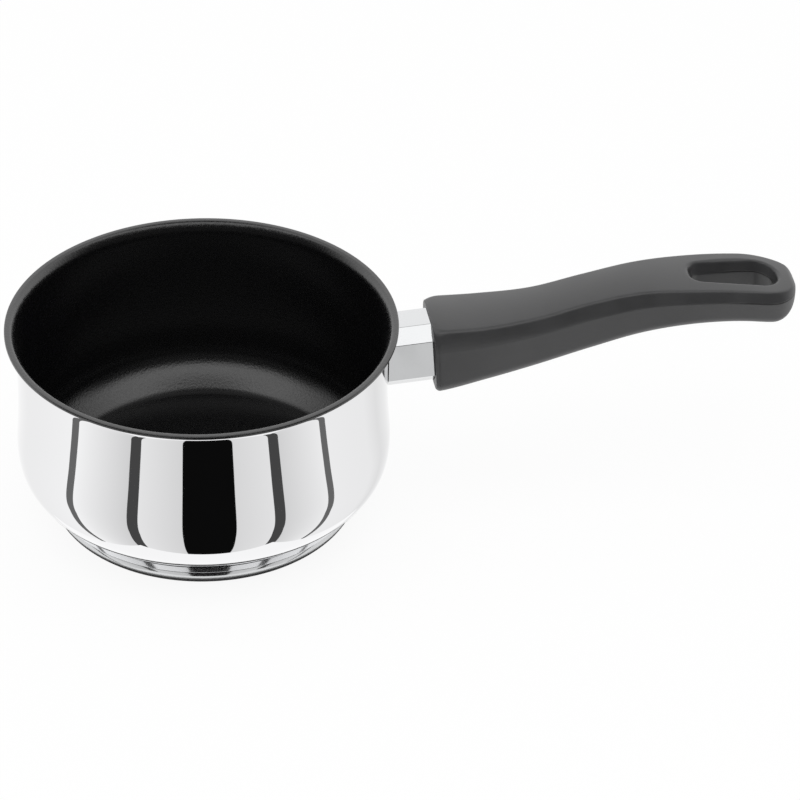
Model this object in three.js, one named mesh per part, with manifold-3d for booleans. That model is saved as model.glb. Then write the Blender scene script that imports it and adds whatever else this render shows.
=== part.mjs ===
// Milk pan: a small bellied saucepan with a pouring lip, a non-stick lining,
// a bonded heat-spreading base and one moulded handle held by a long screw.
// Millimetres, +Z up. The origin is the centre of the flat underside, and the
// handle points along +X.

import * as THREE from 'three';
import { mergeVertices } from 'three/addons/utils/BufferGeometryUtils.js';
import Module from 'manifold-3d';

const wasm = await Module();
wasm.setup();

// Clearances and facets

const seatGap = 0.3; // between pieces that bear on each other
const skinGap = 0.1; // between the steel and the coating baked onto it
const cutOverrun = 4; // how far a cut runs past what it cuts
const turnFacets = 48; // round the vessel
const smallFacets = 24; // round the screw, the washers and the boss
const arcSteps = 5; // along a rounded corner of an outline
const bendSteps = 4; // round the bend at the edge of the floor
const bellySteps = 10; // up the belly to its widest point
const waistSteps = 6; // from there up to the waist of the wall
const flareSteps = 2; // from the waist up to where the wall sweeps out to the lip
const lipFlareSteps = 4; // along that last sweep
const lipSteps = 3; // round the bend under the lip
const capSteps = 5; // round the cap's lower corner

// Vessel

const rimRadius = 74; // outside of the coated pouring lip
const panHeight = 80.7; // table to the top of the lip
const wallRadius = 69.8; // outside of the wall at its waist
const waistHeight = 56.2; // height of that waist
const waistSweep = 13; // how far the waist holds upright below it
const bellyRadius = 70.7; // widest point of the belly
const bellyHeight = 32.3; // height of that widest point
const bellySweep = 12.1; // how far the belly holds upright below it
const bellyUpperSweep = 4.8; // and above it
const footAngle = THREE.MathUtils.degToRad(36); // slope of the belly's foot
const footSweep = 10.1; // how far the foot holds that slope
const floorRadius = 55; // where the flat floor turns up into the belly
const floorBend = 7; // bend radius there
const sheet = 0.7; // drawn stainless sheet
const coating = 0.3; // non-stick lining, with its primer
const wallLean = THREE.MathUtils.degToRad(5.5); // what the wall above its waist leans out by at the top
const lipFlareHeight = 5; // top part of the wall, which sweeps out to the lip as well
const lipFlareWidth = 0.8; // how far it sweeps out
const lipFlarePower = 4; // exponent of that sweep
const lipBend = 0.7; // bend radius under the pouring lip
const lipRound = 0.25; // softened edge of the coating round the lip

// Base

const capSheet = 0.6; // magnetic steel of the base cap
const capRadius = 58.4; // outside of the cap's upright side
const capHeight = 8.4; // table to the cap's top edge
const capFlatRadius = 49; // flat that the pan stands on
const bandRadius = 59; // spreader disc where it shows above the cap
const discHeight = 10.2; // table to the flat top of the disc

// Handle line: the guard, the boss and the screw share one rising axis

const handleTilt = THREE.MathUtils.degToRad(2.5);
const guardDrop = 18.8; // top of the lip down to the guard's centre at the wall
const guardWidth = 21;
const guardHeight = 25.5;
const guardChamfer = 5;
const guardSheet = 0.8;
const guardReach = 28; // wall to the guard's end plate
const guardInboard = 30; // bar inside the wall's face before it is cut to fit
const screwLift = 6.5; // screw axis above the guard's centre

// Screw, washers and welded boss

const screwRadius = 2; // M4
const screwHeadRadius = 3.5;
const screwHeadLength = 4;
const screwEdge = 0.4; // chamfer on the screw's tip and head
const socketAcross = 3; // hexagon socket, across its flats
const socketDepth = 2.2;
const washerRadius = 4.5;
const washerThickness = 0.8;
const springWasherRadius = 3.8;
const springWasherThickness = 0.9;
const springWasherSplit = 0.8; // gap between the washer's cut ends
const holeClearance = 0.3; // round the screw in its holes
const bossRadius = 4;
const bossFootRadius = 5.1; // weld foot on the pan's wall
const bossFootLength = 2.2;
const threadReach = 12; // length of screw held in the boss
const boreSpare = 3; // depth of the boss's bore past the screw's tip

// Grip

const gripStart = 86.8; // pan axis to the end that faces the pan
const gripLength = 140.2;
const gripHalfWidth = 13.6;
const gripEdgeLift = 13.9; // that centre up to the top edges at the pan end
const gripRise = 8.3; // from there up to the hump
const gripDepth = 29; // top edge to underside at the pan end
const gripNearTopCorner = 2.4; // rounded top edges at the pan end
const gripFarTopCorner = 1;
const gripNearCorner = 5.5; // underside corners at the pan end
const gripFarCorner = 4; // underside corners at the far end
const gripNearCrown = 1.2; // camber of the top face
const gripFarCrown = 0.6;
const gripNearBulge = 1.6; // parting line stands this proud of the edges
const gripFarBulge = 2;
const endBevelLength = 6; // pan end of the top, which rounds off
const endBevelInset = 0.5; // drop of the top there
const endCornerGain = 4.5; // added there to the radius of the top edges
const endEdgeLength = 1.6; // softened edge of the end at the sides and the underside
const endEdgeInset = 0.8;
const socketClearance = 0.3; // grip's socket round the guard
const tipRound = 20; // length of the far end that rounds off in plan
const tipTopRound = 2.4;
const tipUndersideRound = 10.5;
const tipFlat = 1.2; // half-width that is left at the very tip

// Grip curves: eight evenly spaced places from the pan end to the tip

const widthShares = [0.96, 0.93, 0.82, 0.78, 0.83, 0.94, 1, 1.02];
const riseShares = [0.02, -0.03, 0.14, 0.64, 0.99, 0.95, 0.72, 0.27];
const depthShares = [1, 0.86, 0.78, 0.75, 0.67, 0.56, 0.51, 0.52];
const partingShare = 0.72; // parting line, from the underside up to the edges
const leanFadedShare = 0.33; // where the sections no longer lean with the guard
const bulgeFullShare = 0.5; // where the parting line stands fully proud
const shoulderShare = 0.75; // camber that is left halfway out to either edge
const cornerRoomShare = 0.9; // largest corner, as a part of the room beside it
const bevelStations = 3; // sections over the bevel at the pan end
const bodyStations = 17; // from there to where the end rounds off
const tipStations = 8;
const tipSquareness = 2.4; // exponent of the plan curve at the tip

// Hanging hole

const eyeLength = 32;
const eyeTipMargin = 7.8; // hole's far end to the tip
const eyeNearHalf = 5.2;
const eyeFarHalf = 8.2;
const eyeNearCorner = 4.4;
const eyeFarCorner = 6.8;
const eyeEdgeRound = 1.8; // rounded edge where the hole meets the surface
const eyeDraft = 0.8; // widening from the parting line to either face
const eyeRoundSteps = 4;

// Finishes

const steelMirror = { color: '#dfe0e0', roughness: 0.06, metalness: 1 };
const steelBrushed = { color: '#b9babb', roughness: 0.3, metalness: 1 };
const aluminiumBright = { color: '#cfd1d2', roughness: 0.22, metalness: 1 };
const steelPlated = { color: '#c2c4c6', roughness: 0.28, metalness: 1 };
const nonStick = { color: '#1c1c1d', roughness: 0.42, metalness: 0 };
const phenolic = { color: '#3a3a3b', roughness: 0.5, metalness: 0 };

// Places worked out from the sizes above

const shellSeat = discHeight; // underside of the pan's floor
const lipEdge = rimRadius - coating - skinGap;
const lipUnderside = panHeight - coating - skinGap - sheet;
const lipBendHeight = lipUnderside - lipBend;
const lipAngle = Math.atan(Math.tan(wallLean) + (lipFlarePower * lipFlareWidth) / lipFlareHeight);
const flareTop = lipBendHeight + lipBend * Math.sin(lipAngle);
const lipFlareStart = flareTop - lipFlareHeight;
const flareWidth = ((flareTop - waistHeight) * Math.tan(wallLean)) / 2;
const lipBendRadius = wallRadius + flareWidth + lipFlareWidth + lipBend * Math.cos(lipAngle);
const guardRoot = panHeight - guardDrop;
const gripEdgeHeight = guardRoot + gripEdgeLift;
const eyeFar = gripStart + gripLength - eyeTipMargin;
const eyeNear = eyeFar - eyeLength;
const handleLine = new THREE.Matrix4()
  .makeTranslation(wallRadius, 0, guardRoot)
  .multiply(new THREE.Matrix4().makeRotationY(-handleTilt));
const screwLine = handleLine.clone().multiply(new THREE.Matrix4().makeTranslation(0, 0, screwLift));
const plateInside = guardReach - guardSheet;
const socketFloor = guardReach + seatGap;
const bossLength = plateInside - seatGap;
const screwTip = bossLength - threadReach;
const eyeAlongScrew = (eyeNear - wallRadius) / Math.cos(handleTilt);
const headSeat = eyeAlongScrew - screwHeadLength - springWasherThickness - washerThickness;
const washerPlace = headSeat + seatGap;
const springWasherPlace = washerPlace + washerThickness;
const headPlace = springWasherPlace + springWasherThickness;

// Solids from closed geometry, and back

function solidOf(geometry, placement = new THREE.Matrix4()) {
  const bare = new THREE.BufferGeometry();
  bare.setAttribute('position', geometry.getAttribute('position').clone());
  if (geometry.index) bare.setIndex(geometry.index.clone());
  bare.applyMatrix4(placement);
  const merged = mergeVertices(bare);
  const corners = merged.index.array;
  const triangles = [];
  for (let i = 0; i < corners.length; i += 3) {
    const [a, b, c] = corners.slice(i, i + 3);
    if (a !== b && b !== c && c !== a) triangles.push(a, b, c);
  }
  const vertProperties = new Float32Array(merged.getAttribute('position').array);
  const triVerts = new Uint32Array(triangles);
  return new wasm.Manifold(new wasm.Mesh({ numProp: 3, vertProperties, triVerts }));
}

function geometryOf(solid) {
  const { numProp, vertProperties, triVerts } = solid.getMesh();
  const geometry = new THREE.BufferGeometry();
  const places = new Float32Array((vertProperties.length / numProp) * 3);
  for (let i = 0; i < places.length / 3; i += 1) {
    for (let axis = 0; axis < 3; axis += 1) places[3 * i + axis] = vertProperties[numProp * i + axis];
  }
  geometry.setAttribute('position', new THREE.BufferAttribute(places, 3));
  geometry.setIndex(new THREE.BufferAttribute(new Uint32Array(triVerts), 1));
  geometry.computeVertexNormals();
  return geometry;
}

// A profile of radius and height turned about the upright axis. It runs from
// the axis out, up the outside and back to the axis.
function turned(profile, facets = turnFacets) {
  return new THREE.LatheGeometry(profile, facets).rotateX(Math.PI / 2);
}

// The same, laid along +X: heights become distances along the axis.
function turnedAlongX(profile, facets = smallFacets) {
  return new THREE.LatheGeometry(profile, facets).rotateZ(-Math.PI / 2);
}

function disc(radius, from, to) {
  return [point(0, from), point(radius, from), point(radius, to), point(0, to)];
}

function point(x, y) {
  return new THREE.Vector2(x, y);
}

// Closed rings of equal count joined by walls, with a fan over each end.
function loft(rings) {
  const count = rings[0].length;
  const places = [];
  rings.forEach((ring) => ring.forEach((p) => places.push(p.x, p.y, p.z)));
  const centres = [rings[0], rings[rings.length - 1]].map((ring) => {
    const centre = new THREE.Vector3();
    ring.forEach((p) => centre.add(p));
    return centre.divideScalar(count);
  });
  centres.forEach((p) => places.push(p.x, p.y, p.z));
  const first = rings.length * count;
  const index = [];
  for (let r = 0; r + 1 < rings.length; r += 1) {
    for (let i = 0; i < count; i += 1) {
      const next = (i + 1) % count;
      const a = r * count + i;
      const b = r * count + next;
      index.push(a, b, b + count, a, b + count, a + count);
    }
  }
  const last = (rings.length - 1) * count;
  for (let i = 0; i < count; i += 1) {
    const next = (i + 1) % count;
    index.push(first, next, i);
    index.push(first + 1, last + i, last + next);
  }
  const geometry = new THREE.BufferGeometry();
  geometry.setAttribute('position', new THREE.Float32BufferAttribute(places, 3));
  geometry.setIndex(index);
  return geometry;
}

// A closed outline whose corners are rounded, each by its own radius. A
// corner without a radius stays one point.
function roundedOutline(corners) {
  const outline = [];
  corners.forEach(({ at, radius }, i) => {
    if (!radius) {
      outline.push(at.clone());
      return;
    }
    const back = corners[(i + corners.length - 1) % corners.length].at.clone().sub(at).normalize();
    const ahead = corners[(i + 1) % corners.length].at.clone().sub(at).normalize();
    const half = Math.acos(back.dot(ahead)) / 2;
    const reach = radius / Math.tan(half);
    const centre = back.clone().add(ahead).normalize().multiplyScalar(radius / Math.sin(half)).add(at);
    const from = back.multiplyScalar(reach).add(at).sub(centre);
    const to = ahead.multiplyScalar(reach).add(at).sub(centre);
    const sweep = Math.atan2(from.cross(to), from.dot(to));
    for (let step = 0; step <= arcSteps; step += 1) {
      outline.push(from.clone().rotateAround(point(0, 0), (sweep * step) / arcSteps).add(centre));
    }
  });
  return outline;
}

// Vessel profiles

// The bend at the edge of the floor, or what lies a gap under it.
function floorBendArc(gap, sweep = footAngle) {
  const radius = floorBend + gap;
  const arc = [];
  for (let step = 0; step <= bendSteps; step += 1) {
    const turn = sweep * (step / bendSteps);
    arc.push(point(floorRadius + radius * Math.sin(turn), shellSeat + floorBend - radius * Math.cos(turn)));
  }
  return arc;
}

function bellyCurve() {
  const bend = floorBendArc(0);
  const foot = bend[bend.length - 1];
  const slope = point(Math.cos(footAngle), Math.sin(footAngle)).multiplyScalar(footSweep);
  const widest = point(bellyRadius, bellyHeight);
  const under = point(bellyRadius, bellyHeight - bellySweep);
  return new THREE.CubicBezierCurve(foot, foot.clone().add(slope), under, widest);
}

function waistCurve() {
  const widest = point(bellyRadius, bellyHeight);
  const over = point(bellyRadius, bellyHeight + bellyUpperSweep);
  const under = point(wallRadius, waistHeight - waistSweep);
  return new THREE.CubicBezierCurve(widest, over, under, point(wallRadius, waistHeight));
}

// The wall's outside between two heights, without the lower one.
function flare(from, to, steps) {
  const curve = [];
  for (let step = 1; step <= steps; step += 1) {
    const height = THREE.MathUtils.lerp(from, to, step / steps);
    const share = (height - waistHeight) / (flareTop - waistHeight);
    const last = Math.max(height - lipFlareStart, 0) / lipFlareHeight;
    const out = flareWidth * share ** 2 + lipFlareWidth * last ** lipFlarePower;
    curve.push(point(wallRadius + out, height));
  }
  return curve;
}

function bellyProfile() {
  const profile = [...floorBendArc(0), ...bellyCurve().getPoints(bellySteps).slice(1)];
  profile.push(...waistCurve().getPoints(waistSteps).slice(1));
  profile.push(...flare(waistHeight, lipFlareStart, flareSteps));
  profile.push(...flare(lipFlareStart, flareTop, lipFlareSteps));
  for (let step = 1; step <= lipSteps; step += 1) {
    const turn = lipAngle + (Math.PI / 2 - lipAngle) * (step / lipSteps);
    const height = lipBendHeight + lipBend * Math.sin(turn);
    profile.push(point(lipBendRadius - lipBend * Math.cos(turn), height));
  }
  return profile;
}

// The wall's outside moved inwards by a distance, square to itself.
function movedIn(profile, distance) {
  return profile.map((p, i) => {
    const before = profile[Math.max(i - 1, 0)];
    const after = profile[Math.min(i + 1, profile.length - 1)];
    const along = after.clone().sub(before).normalize();
    if (i === 0 || i === profile.length - 1) along.set(1, 0);
    return point(p.x - along.y * distance, p.y + along.x * distance);
  });
}

// Everything inside the vessel's outside, grown by a gap, used to fit what
// is welded or pressed against the wall.
function vesselEnvelope(gap) {
  const outside = movedIn(bellyProfile(), -gap);
  const top = panHeight + cutOverrun;
  const profile = [point(0, -cutOverrun), point(outside[0].x, -cutOverrun), ...outside];
  profile.push(point(lipEdge + gap, lipUnderside - gap), point(lipEdge + gap, top), point(0, top));
  return solidOf(turned(profile));
}

function panShell() {
  const outside = bellyProfile();
  const inside = movedIn(outside, sheet).reverse();
  const lip = [point(lipEdge, lipUnderside), point(lipEdge, lipUnderside + sheet)];
  const profile = [point(0, shellSeat), ...outside, ...lip, ...inside, point(0, shellSeat + sheet)];
  return geometryOf(solidOf(turned(profile)));
}

function nonStickLining() {
  const steelSide = movedIn(bellyProfile(), sheet + skinGap);
  const foodSide = movedIn(bellyProfile(), sheet + skinGap + coating).reverse();
  const floorHeight = shellSeat + sheet + skinGap;
  const edgeInside = lipEdge + skinGap;
  const lip = [
    point(edgeInside, panHeight - coating),
    point(edgeInside, lipUnderside),
    point(rimRadius, lipUnderside),
    point(rimRadius, panHeight - lipRound),
    point(rimRadius - lipRound, panHeight),
  ];
  const profile = [point(0, floorHeight), ...steelSide, ...lip, ...foodSide];
  profile.push(point(0, floorHeight + coating));
  return geometryOf(solidOf(turned(profile)));
}

function spreaderDisc() {
  const insideCap = capRadius - capSheet - seatGap;
  const cornerRadius = capFlatRadius - seatGap;
  const cornerHeight = capHeight - capSheet;
  const bandSweep = Math.asin((bandRadius - floorRadius) / (floorBend + seatGap));
  const profile = [
    point(0, capSheet),
    point(cornerRadius, capSheet),
    ...capCorner(cornerRadius, insideCap, capSheet, cornerHeight),
    point(insideCap, capHeight + seatGap),
    point(bandRadius, capHeight + seatGap),
    ...floorBendArc(seatGap, bandSweep).reverse(),
    point(floorRadius, discHeight),
    point(0, discHeight),
  ];
  return geometryOf(solidOf(turned(profile)));
}

// A quarter ellipse from a flat underside up to an upright side.
function capCorner(flatRadius, sideRadius, from, to) {
  const corner = [];
  for (let step = 1; step <= capSteps; step += 1) {
    const turn = (Math.PI / 2) * (step / capSteps);
    const radius = flatRadius + (sideRadius - flatRadius) * Math.sin(turn);
    corner.push(point(radius, to - (to - from) * Math.cos(turn)));
  }
  return corner;
}

function baseCap() {
  const cornerTop = capHeight - capSheet;
  const insideRadius = capRadius - capSheet;
  const profile = [
    point(0, 0),
    point(capFlatRadius, 0),
    ...capCorner(capFlatRadius, capRadius, 0, cornerTop),
    point(capRadius, capHeight),
    point(insideRadius, capHeight),
    ...capCorner(capFlatRadius, insideRadius, capSheet, cornerTop).reverse(),
    point(capFlatRadius, capSheet),
    point(0, capSheet),
  ];
  return geometryOf(solidOf(turned(profile)));
}

// Flame guard: an eight-sided sleeve with a plate across its handle end

function guardOutline(offset) {
  const halfWidth = guardWidth / 2 + offset;
  const halfHeight = guardHeight / 2 + offset;
  const chamfer = guardChamfer + offset * (2 - Math.SQRT2);
  return new THREE.Shape([
    point(halfWidth, halfHeight - chamfer),
    point(halfWidth - chamfer, halfHeight),
    point(chamfer - halfWidth, halfHeight),
    point(-halfWidth, halfHeight - chamfer),
    point(-halfWidth, chamfer - halfHeight),
    point(chamfer - halfWidth, -halfHeight),
    point(halfWidth - chamfer, -halfHeight),
    point(halfWidth, chamfer - halfHeight),
  ]);
}

// The guard's outline drawn out along the handle line.
function guardBar(offset, from, to) {
  const bar = new THREE.ExtrudeGeometry(guardOutline(offset), { depth: to - from, bevelEnabled: false });
  const turnUp = new THREE.Matrix4().makeBasis(
    new THREE.Vector3(0, 1, 0),
    new THREE.Vector3(0, 0, 1),
    new THREE.Vector3(1, 0, 0),
  );
  bar.applyMatrix4(turnUp).translate(from, 0, 0);
  return solidOf(bar, handleLine);
}

function flameGuard() {
  const outside = guardBar(0, -guardInboard, guardReach);
  const hollow = guardBar(-guardSheet, -guardInboard - cutOverrun, plateInside);
  const hole = screwLineBar(screwRadius + holeClearance, plateInside - cutOverrun, guardReach + cutOverrun);
  return geometryOf(outside.subtract(hollow).subtract(hole).subtract(vesselEnvelope(seatGap)));
}

// Boss, screw and washers, turned about the screw's axis

function screwLineBar(radius, from, to) {
  return solidOf(turnedAlongX(disc(radius, from, to)), screwLine);
}

function weldedBoss() {
  const boreRadius = screwRadius + holeClearance;
  const boreEnd = screwTip - boreSpare;
  const profile = [
    point(0, -cutOverrun),
    point(bossFootRadius, -cutOverrun),
    point(bossFootRadius, bossFootLength),
    point(bossRadius, bossFootLength + bossFootRadius - bossRadius),
    point(bossRadius, bossLength),
    point(boreRadius, bossLength),
    point(boreRadius, boreEnd),
    point(0, boreEnd),
  ];
  const boss = solidOf(turnedAlongX(profile), screwLine);
  return geometryOf(boss.subtract(vesselEnvelope(seatGap)));
}

function hexagon(across, from, to) {
  const sides = 6;
  const cornerRadius = across / 2 / Math.cos(Math.PI / sides);
  return turnedAlongX(disc(cornerRadius, from, to), sides);
}

function handleScrew() {
  const headEnd = headPlace + screwHeadLength;
  const profile = [
    point(0, screwTip),
    point(screwRadius - screwEdge, screwTip),
    point(screwRadius, screwTip + screwEdge),
    point(screwRadius, headPlace),
    point(screwHeadRadius, headPlace),
    point(screwHeadRadius, headEnd - screwEdge),
    point(screwHeadRadius - screwEdge, headEnd),
    point(0, headEnd),
  ];
  const socket = solidOf(hexagon(socketAcross, headEnd - socketDepth, headEnd + cutOverrun));
  return geometryOf(solidOf(turnedAlongX(profile)).subtract(socket));
}

function ring(outerRadius, innerRadius, from, to) {
  return turnedAlongX([
    point(innerRadius, from),
    point(outerRadius, from),
    point(outerRadius, to),
    point(innerRadius, to),
    point(innerRadius, from),
  ]);
}

function flatWasher() {
  const holeRadius = screwRadius + holeClearance;
  return geometryOf(solidOf(ring(washerRadius, holeRadius, washerPlace, springWasherPlace)));
}

function springWasher() {
  const holeRadius = screwRadius + holeClearance;
  const washer = solidOf(ring(springWasherRadius, holeRadius, springWasherPlace, headPlace));
  const through = springWasherThickness + cutOverrun;
  const split = new THREE.BoxGeometry(through, springWasherSplit, springWasherRadius);
  split.translate(springWasherPlace, 0, (holeRadius + springWasherRadius) / 2);
  return geometryOf(washer.subtract(solidOf(split)));
}

// Grip curves

function alongGrip(shares, share) {
  const spans = shares.length - 1;
  const span = Math.min(Math.floor(share * spans), spans - 1);
  const part = share * spans - span;
  const before = shares[Math.max(span - 1, 0)];
  const after = shares[Math.min(span + 2, spans)];
  const [from, to] = [shares[span], shares[span + 1]];
  const leave = (to - before) / 2;
  const arrive = (after - from) / 2;
  const bend = 2 * (from - to) + leave + arrive;
  const lift = 3 * (to - from) - 2 * leave - arrive;
  return ((bend * part + lift) * part + leave) * part + from;
}

// Heights, half-width and corner sizes of the grip at a share of its length.
function gripAt(share) {
  const distance = gripLength * share;
  const toTip = gripLength - distance;
  const edge = gripEdgeHeight + gripRise * alongGrip(riseShares, share);
  const underside = edge - gripDepth * alongGrip(depthShares, share);
  const bevel = (1 - Math.min(distance / endBevelLength, 1)) ** 2;
  const edgeInset = endEdgeInset * (1 - Math.min(distance / endEdgeLength, 1)) ** 2;
  const round = Math.min(Math.max(1 - toTip / tipRound, 0), 1);
  const plan = (1 - round ** tipSquareness) ** (1 / tipSquareness);
  const full = gripHalfWidth * alongGrip(widthShares, share) - edgeInset;
  return {
    place: gripStart + distance,
    halfWidth: tipFlat + (full - tipFlat) * plan,
    top: edge - endBevelInset * bevel - quarterDrop(tipTopRound, toTip),
    underside: underside + edgeInset + quarterDrop(tipUndersideRound, toTip),
    crown: THREE.MathUtils.lerp(gripNearCrown, gripFarCrown, share),
    bulge: THREE.MathUtils.lerp(gripNearBulge, gripFarBulge, Math.min(share / bulgeFullShare, 1)),
    topCorner: THREE.MathUtils.lerp(gripNearTopCorner, gripFarTopCorner, share) + endCornerGain * bevel,
    corner: THREE.MathUtils.lerp(gripNearCorner, gripFarCorner, share),
    fullness: plan,
  };
}

// How far a quarter round has dropped at a distance short of its end.
function quarterDrop(radius, toEnd) {
  const past = Math.max(radius - toEnd, 0);
  return radius - Math.sqrt(radius * radius - past * past);
}

function partingHeight({ top, underside }) {
  return underside + (top - underside) * partingShare;
}

function gripSection(share) {
  const at = gripAt(share);
  const { halfWidth, top, underside } = at;
  const parting = partingHeight(at);
  const side = halfWidth + at.bulge * at.fullness;
  const half = halfWidth / 2;
  const camber = at.crown * at.fullness;
  const shoulder = top + camber * shoulderShare;
  const topCorner = Math.min(at.topCorner, half * cornerRoomShare, (top - parting) * cornerRoomShare);
  const lowRoom = Math.min(halfWidth, parting - underside) * cornerRoomShare;
  const lowCorner = Math.min(at.corner, lowRoom);
  const outline = roundedOutline([
    { at: point(0, top + camber) },
    { at: point(-half, shoulder) },
    { at: point(-halfWidth, top), radius: topCorner },
    { at: point(-side, parting) },
    { at: point(-halfWidth, underside), radius: lowCorner },
    { at: point(halfWidth, underside), radius: lowCorner },
    { at: point(side, parting) },
    { at: point(halfWidth, top), radius: topCorner },
    { at: point(half, shoulder) },
  ]);
  const lean = Math.tan(handleTilt) * (1 - Math.min(share / leanFadedShare, 1));
  const middle = guardRoot + (at.place - wallRadius) * Math.tan(handleTilt);
  return outline.map((p) => new THREE.Vector3(at.place + lean * (middle - p.y), p.x, p.y));
}

function gripBody() {
  const sections = [];
  const bodyStart = endBevelLength / gripLength;
  const bodyEnd = 1 - tipRound / gripLength;
  for (let i = 0; i < bevelStations; i += 1) sections.push((bodyStart * i) / bevelStations);
  for (let i = 0; i < bodyStations; i += 1) {
    sections.push(bodyStart + ((bodyEnd - bodyStart) * i) / bodyStations);
  }
  for (let i = 0; i <= tipStations; i += 1) {
    sections.push(bodyEnd + (1 - bodyEnd) * Math.sin(((Math.PI / 2) * i) / tipStations));
  }
  return solidOf(loft(sections.map(gripSection)));
}

// The hole is narrowest at the parting line, widens by its draft towards both
// faces and flares at each face by a quarter round.
function eyeRing(offset, heightAt) {
  const outline = roundedOutline([
    { at: point(eyeNear - offset, -eyeNearHalf - offset), radius: eyeNearCorner + offset },
    { at: point(eyeFar + offset, -eyeFarHalf - offset), radius: eyeFarCorner + offset },
    { at: point(eyeFar + offset, eyeFarHalf + offset), radius: eyeFarCorner + offset },
    { at: point(eyeNear - offset, eyeNearHalf + offset), radius: eyeNearCorner + offset },
  ]);
  return outline.map((p) => new THREE.Vector3(p.x, p.y, heightAt((p.x - gripStart) / gripLength)));
}

function eyeCutter() {
  const rings = [];
  const flare = eyeEdgeRound + eyeDraft;
  rings.push(eyeRing(flare, (share) => gripAt(share).underside - cutOverrun));
  for (let step = 0; step <= eyeRoundSteps; step += 1) {
    const turn = (Math.PI / 2) * (step / eyeRoundSteps);
    const offset = flare - eyeEdgeRound * Math.sin(turn);
    const rise = eyeEdgeRound * (1 - Math.cos(turn));
    rings.push(eyeRing(offset, (share) => gripAt(share).underside + rise));
  }
  rings.push(eyeRing(0, (share) => partingHeight(gripAt(share))));
  for (let step = eyeRoundSteps; step >= 0; step -= 1) {
    const turn = (Math.PI / 2) * (step / eyeRoundSteps);
    const offset = flare - eyeEdgeRound * Math.sin(turn);
    const drop = eyeEdgeRound * (1 - Math.cos(turn));
    rings.push(eyeRing(offset, (share) => crownHeight(share) - drop));
  }
  rings.push(eyeRing(flare, (share) => crownHeight(share) + cutOverrun));
  return solidOf(loft(rings));
}

function crownHeight(share) {
  const at = gripAt(share);
  return at.top + at.crown * at.fullness;
}

function handleGrip() {
  const socket = guardBar(socketClearance, -guardReach, socketFloor);
  const shaftHole = screwLineBar(screwRadius + holeClearance, 0, eyeAlongScrew);
  const headHole = screwLineBar(washerRadius + holeClearance, headSeat, eyeAlongScrew + cutOverrun);
  const body = gripBody().subtract(eyeCutter()).subtract(socket);
  return geometryOf(body.subtract(shaftHole).subtract(headHole));
}

// Assembly

function piece(name, geometry, finish) {
  const mesh = new THREE.Mesh(geometry, new THREE.MeshStandardMaterial(finish));
  mesh.name = name;
  return mesh;
}

const vessel = new THREE.Group();
vessel.add(piece('pan_shell', panShell(), steelMirror));
vessel.add(piece('nonstick_lining', nonStickLining(), nonStick));
vessel.add(piece('spreader_disc', spreaderDisc(), aluminiumBright));
vessel.add(piece('base_cap', baseCap(), steelBrushed));
vessel.add(piece('handle_boss', weldedBoss(), steelBrushed));

const handle = new THREE.Group();
handle.add(piece('flame_guard', flameGuard(), steelMirror));
handle.add(piece('handle_grip', handleGrip(), phenolic));

const fixing = new THREE.Group();
fixing.applyMatrix4(screwLine);
fixing.add(piece('handle_screw', handleScrew(), steelPlated));
fixing.add(piece('flat_washer', flatWasher(), steelPlated));
fixing.add(piece('spring_washer', springWasher(), steelPlated));
handle.add(fixing);

const milkPan = new THREE.Group();
milkPan.add(vessel, handle);

export default milkPan;
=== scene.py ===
"""Milk pan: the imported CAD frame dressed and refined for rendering.

Sizes are in millimetres, as in the CAD source, and meshes are in metres.
The pan stands on z = 0 with its axis on the origin, and the handle points
along +X.
"""

import logging
import math
from dataclasses import dataclass, field
from enum import Enum
from typing import Any, Callable

import bmesh
import bpy
from bpy.types import Material, Mesh, NodeOutputs, NodeSocket, NodeTree, Object, World
from mathutils import Matrix, Vector

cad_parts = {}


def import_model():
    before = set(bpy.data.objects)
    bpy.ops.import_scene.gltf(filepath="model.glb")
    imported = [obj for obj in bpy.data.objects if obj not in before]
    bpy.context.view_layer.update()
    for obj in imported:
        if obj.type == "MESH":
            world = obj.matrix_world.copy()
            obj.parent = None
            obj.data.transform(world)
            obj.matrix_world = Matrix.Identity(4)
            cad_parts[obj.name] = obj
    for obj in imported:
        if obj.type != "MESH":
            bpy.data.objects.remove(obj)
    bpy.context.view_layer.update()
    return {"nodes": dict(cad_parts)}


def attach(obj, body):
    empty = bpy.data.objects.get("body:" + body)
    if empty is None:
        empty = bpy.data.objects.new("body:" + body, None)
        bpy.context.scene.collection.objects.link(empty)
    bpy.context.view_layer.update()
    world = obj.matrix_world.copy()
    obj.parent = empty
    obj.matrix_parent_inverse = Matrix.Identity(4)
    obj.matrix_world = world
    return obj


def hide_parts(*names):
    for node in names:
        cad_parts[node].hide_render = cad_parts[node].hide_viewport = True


LOG = logging.getLogger("milk_pan")
BODY = "root"
MILLIMETRE = 0.001
NOISE_SPREAD = (0.3, 0.7)  # nearly all of a noise's values lie between these
SMOOTH = {"interpolation_type": "SMOOTHSTEP"}
SHARE, FIRST, SECOND, MIXED = 0, 6, 7, 2  # a colour Mix node's inputs and its output
POLE_RADIUS = 1e-6  # a ring smaller than this is one point
LEAST_RISE = 1e-9  # keeps a level step of a profile from a division by zero

Profile = list[tuple[float, float]]
Ring = list[Vector]
Colour = tuple[float, float, float, float]


class Slot(Enum):
    """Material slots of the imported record."""

    STEEL_MIRROR = "steel_mirror"
    NON_STICK = "nonstick"
    ALUMINIUM = "aluminium"
    STEEL_BASE = "steel_base"
    STEEL_PLAIN = "steel_plain"
    PHENOLIC = "phenolic"
    STEEL_PLATED = "steel_plated"


# Shader nodes


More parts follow.
